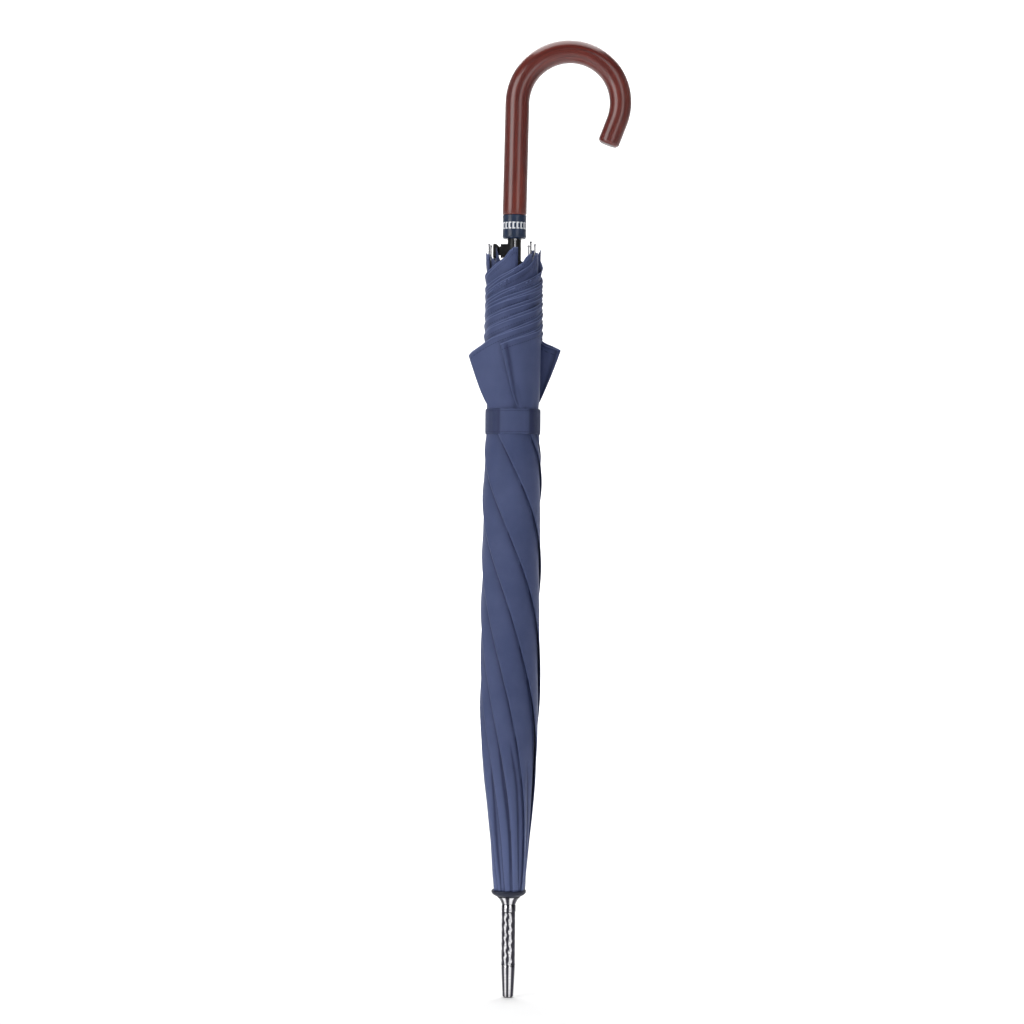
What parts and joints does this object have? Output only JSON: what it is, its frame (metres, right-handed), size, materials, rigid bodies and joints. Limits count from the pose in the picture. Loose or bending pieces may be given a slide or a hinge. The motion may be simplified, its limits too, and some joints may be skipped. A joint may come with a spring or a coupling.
{
  "type": "stick umbrella",
  "caption": "Closed stick umbrella with a bent wooden crook handle, furled canopy tied by a strap, push-button housing and chrome ferrule.",
  "frame": {"origin": "centre of the ferrule's flat end, on the shaft's axis", "axes": "+Z along the shaft towards the handle, +X the side that the crook opens to, push button on -X"},
  "size_m": [0.1491, 0.084, 0.8902],
  "materials": {
    "wood": "glossy reddish-brown lacquer",
    "collar": "satin navy",
    "black": "black, slightly glossy",
    "cloth": "navy pongee",
    "strap": "navy pongee, folded double",
    "cap": "dark navy",
    "chrome": "polished",
    "steel": "bright zinc"
  },
  "bodies": {
    "frame": {"handle_crook": "wood", "collar_band": "collar", "shaft_tube": "steel", "button_housing": "black", "ferrule_tip": "chrome", "ferrule_sleeve": "chrome", "ferrule_flange": "chrome", "top_cap": "cap", "crown": "black", "crown_wire": "steel", "button_spring": "steel"},
    "push_button": {"push_button": "black"},
    "runner": {"runner": "black", "runner_wire": "steel"},
    "rib_1": {"rib_1": "steel", "rib_tip_1": "chrome", "rivet_1": "steel"},
    "stretcher_1": {"stretcher_1": "steel"},
    "gore_1": {"gore_1": "cloth"},
    "rib_2": {"rib_2": "steel", "rib_tip_2": "chrome", "rivet_2": "steel"},
    "stretcher_2": {"stretcher_2": "steel"},
    "gore_2": {"gore_2": "cloth"},
    "rib_3": {"rib_3": "steel", "rib_tip_3": "chrome", "rivet_3": "steel"},
    "stretcher_3": {"stretcher_3": "steel"},
    "gore_3": {"gore_3": "cloth", "strap_band": "strap", "snap_stud": "chrome"},
    "rib_4": {"rib_4": "steel", "rib_tip_4": "chrome", "rivet_4": "steel"},
    "stretcher_4": {"stretcher_4": "steel"},
    "gore_4": {"gore_4": "cloth"},
    "rib_5": {"rib_5": "steel", "rib_tip_5": "chrome", "rivet_5": "steel"},
    "stretcher_5": {"stretcher_5": "steel"},
    "gore_5": {"gore_5": "cloth"},
    "rib_6": {"rib_6": "steel", "rib_tip_6": "chrome", "rivet_6": "steel"},
    "stretcher_6": {"stretcher_6": "steel"},
    "gore_6": {"gore_6": "cloth"},
    "rib_7": {"rib_7": "steel", "rib_tip_7": "chrome", "rivet_7": "steel"},
    "stretcher_7": {"stretcher_7": "steel"},
    "gore_7": {"gore_7": "cloth"},
    "rib_8": {"rib_8": "steel", "rib_tip_8": "chrome", "rivet_8": "steel"},
    "stretcher_8": {"stretcher_8": "steel"},
    "gore_8": {"gore_8": "cloth"},
    "strap_tab": {"strap_tab": "strap", "snap_cap": "chrome"}
  },
  "joints": [
    {"name": "push_button", "type": "slide", "parent": "frame", "child": "push_button", "axis": [1, 0, 0], "range_m": [0, 0.0025], "stiffness_N_per_m": 400, "deforming": ["button_spring"]},
    {"name": "canopy_open", "type": "hinge", "parent": "frame", "child": "rib_1", "pos_m": [0.0095, 0, 0.1035], "axis": [0, 1, 0], "range_deg": [0, 70], "deforming": ["gore_1", "gore_2", "gore_3", "gore_4", "gore_5", "gore_6", "gore_7", "gore_8", "strap_band"]},
    {"name": "stretcher_1_fold", "type": "hinge", "parent": "rib_1", "child": "stretcher_1", "pos_m": [0.0165, 0, 0.39025], "axis": [0, 1, 0], "range_deg": [-140, 0]},
    {"name": "gore_1_spread", "type": "hinge", "parent": "rib_1", "child": "gore_1", "pos_m": [0.00625, 0, 0.09457], "axis": [-0.9397, 0, 0.342], "range_deg": [0, 45]},
    {"name": "rib_2_open", "type": "hinge", "parent": "frame", "child": "rib_2", "pos_m": [0.00672, 0.00672, 0.1035], "axis": [-0.7071, 0.7071, 0], "range_deg": [0, 70]},
    {"name": "stretcher_2_fold", "type": "hinge", "parent": "rib_2", "child": "stretcher_2", "pos_m": [0.01167, 0.01167, 0.39025], "axis": [-0.7071, 0.7071, 0], "range_deg": [-140, 0]},
    {"name": "gore_2_spread", "type": "hinge", "parent": "rib_2", "child": "gore_2", "pos_m": [0.00442, 0.00442, 0.09457], "axis": [-0.6645, -0.6645, 0.342], "range_deg": [0, 45]},
    {"name": "rib_3_open", "type": "hinge", "parent": "frame", "child": "rib_3", "pos_m": [0, 0.0095, 0.1035], "axis": [-1, 0, 0], "range_deg": [0, 70]},
    {"name": "stretcher_3_fold", "type": "hinge", "parent": "rib_3", "child": "stretcher_3", "pos_m": [0, 0.0165, 0.39025], "axis": [-1, 0, 0], "range_deg": [-140, 0]},
    {"name": "gore_3_spread", "type": "hinge", "parent": "rib_3", "child": "gore_3", "pos_m": [0, 0.00625, 0.09457], "axis": [0, -0.9397, 0.342], "range_deg": [0, 45]},
    {"name": "rib_4_open", "type": "hinge", "parent": "frame", "child": "rib_4", "pos_m": [-0.00672, 0.00672, 0.1035], "axis": [-0.7071, -0.7071, 0], "range_deg": [0, 70]},
    {"name": "stretcher_4_fold", "type": "hinge", "parent": "rib_4", "child": "stretcher_4", "pos_m": [-0.01167, 0.01167, 0.39025], "axis": [-0.7071, -0.7071, 0], "range_deg": [-140, 0]},
    {"name": "gore_4_spread", "type": "hinge", "parent": "rib_4", "child": "gore_4", "pos_m": [-0.00442, 0.00442, 0.09457], "axis": [0.6645, -0.6645, 0.342], "range_deg": [0, 45]},
    {"name": "rib_5_open", "type": "hinge", "parent": "frame", "child": "rib_5", "pos_m": [-0.0095, 0, 0.1035], "axis": [0, -1, 0], "range_deg": [0, 70]},
    {"name": "stretcher_5_fold", "type": "hinge", "parent": "rib_5", "child": "stretcher_5", "pos_m": [-0.0165, 0, 0.39025], "axis": [0, -1, 0], "range_deg": [-140, 0]},
    {"name": "gore_5_spread", "type": "hinge", "parent": "rib_5", "child": "gore_5", "pos_m": [-0.00625, 0, 0.09457], "axis": [0.9397, 0, 0.342], "range_deg": [0, 45]},
    {"name": "rib_6_open", "type": "hinge", "parent": "frame", "child": "rib_6", "pos_m": [-0.00672, -0.00672, 0.1035], "axis": [0.7071, -0.7071, 0], "range_deg": [0, 70]},
    {"name": "stretcher_6_fold", "type": "hinge", "parent": "rib_6", "child": "stretcher_6", "pos_m": [-0.01167, -0.01167, 0.39025], "axis": [0.7071, -0.7071, 0], "range_deg": [-140, 0]},
    {"name": "gore_6_spread", "type": "hinge", "parent": "rib_6", "child": "gore_6", "pos_m": [-0.00442, -0.00442, 0.09457], "axis": [0.6645, 0.6645, 0.342], "range_deg": [0, 45]},
    {"name": "rib_7_open", "type": "hinge", "parent": "frame", "child": "rib_7", "pos_m": [0, -0.0095, 0.1035], "axis": [1, 0, 0], "range_deg": [0, 70]},
    {"name": "stretcher_7_fold", "type": "hinge", "parent": "rib_7", "child": "stretcher_7", "pos_m": [0, -0.0165, 0.39025], "axis": [1, 0, 0], "range_deg": [-140, 0]},
    {"name": "gore_7_spread", "type": "hinge", "parent": "rib_7", "child": "gore_7", "pos_m": [0, -0.00625, 0.09457], "axis": [0, 0.9397, 0.342], "range_deg": [0, 45]},
    {"name": "rib_8_open", "type": "hinge", "parent": "frame", "child": "rib_8", "pos_m": [0.00672, -0.00672, 0.1035], "axis": [0.7071, 0.7071, 0], "range_deg": [0, 70]},
    {"name": "stretcher_8_fold", "type": "hinge", "parent": "rib_8", "child": "stretcher_8", "pos_m": [0.01167, -0.01167, 0.39025], "axis": [0.7071, 0.7071, 0], "range_deg": [-140, 0]},
    {"name": "gore_8_spread", "type": "hinge", "parent": "rib_8", "child": "gore_8", "pos_m": [0.00442, -0.00442, 0.09457], "axis": [-0.6645, 0.6645, 0.342], "range_deg": [0, 45]},
    {"name": "runner_pivot", "type": "hinge", "parent": "stretcher_1", "child": "runner", "pos_m": [0.0095, 0, 0.677], "axis": [0, 1, 0], "range_deg": [0, 70]},
    {"name": "strap_open", "type": "hinge", "parent": "gore_3", "child": "strap_tab", "pos_m": [0.01251, 0.02353, 0.535], "axis": [0, 0, -1], "range_deg": [0, 100]}
  ],
  "couplings": [
    {"joint": "stretcher_1_fold", "follows": "canopy_open", "ratio": -2},
    {"joint": "gore_1_spread", "follows": "canopy_open", "ratio": 0.64286},
    {"joint": "rib_2_open", "follows": "canopy_open", "ratio": 1},
    {"joint": "stretcher_2_fold", "follows": "canopy_open", "ratio": -2},
    {"joint": "gore_2_spread", "follows": "canopy_open", "ratio": 0.64286},
    {"joint": "rib_3_open", "follows": "canopy_open", "ratio": 1},
    {"joint": "stretcher_3_fold", "follows": "canopy_open", "ratio": -2},
    {"joint": "gore_3_spread", "follows": "canopy_open", "ratio": 0.64286},
    {"joint": "rib_4_open", "follows": "canopy_open", "ratio": 1},
    {"joint": "stretcher_4_fold", "follows": "canopy_open", "ratio": -2},
    {"joint": "gore_4_spread", "follows": "canopy_open", "ratio": 0.64286},
    {"joint": "rib_5_open", "follows": "canopy_open", "ratio": 1},
    {"joint": "stretcher_5_fold", "follows": "canopy_open", "ratio": -2},
    {"joint": "gore_5_spread", "follows": "canopy_open", "ratio": 0.64286},
    {"joint": "rib_6_open", "follows": "canopy_open", "ratio": 1},
    {"joint": "stretcher_6_fold", "follows": "canopy_open", "ratio": -2},
    {"joint": "gore_6_spread", "follows": "canopy_open", "ratio": 0.64286},
    {"joint": "rib_7_open", "follows": "canopy_open", "ratio": 1},
    {"joint": "stretcher_7_fold", "follows": "canopy_open", "ratio": -2},
    {"joint": "gore_7_spread", "follows": "canopy_open", "ratio": 0.64286},
    {"joint": "rib_8_open", "follows": "canopy_open", "ratio": 1},
    {"joint": "stretcher_8_fold", "follows": "canopy_open", "ratio": -2},
    {"joint": "gore_8_spread", "follows": "canopy_open", "ratio": 0.64286},
    {"joint": "runner_pivot", "follows": "canopy_open", "ratio": 1}
  ]
}
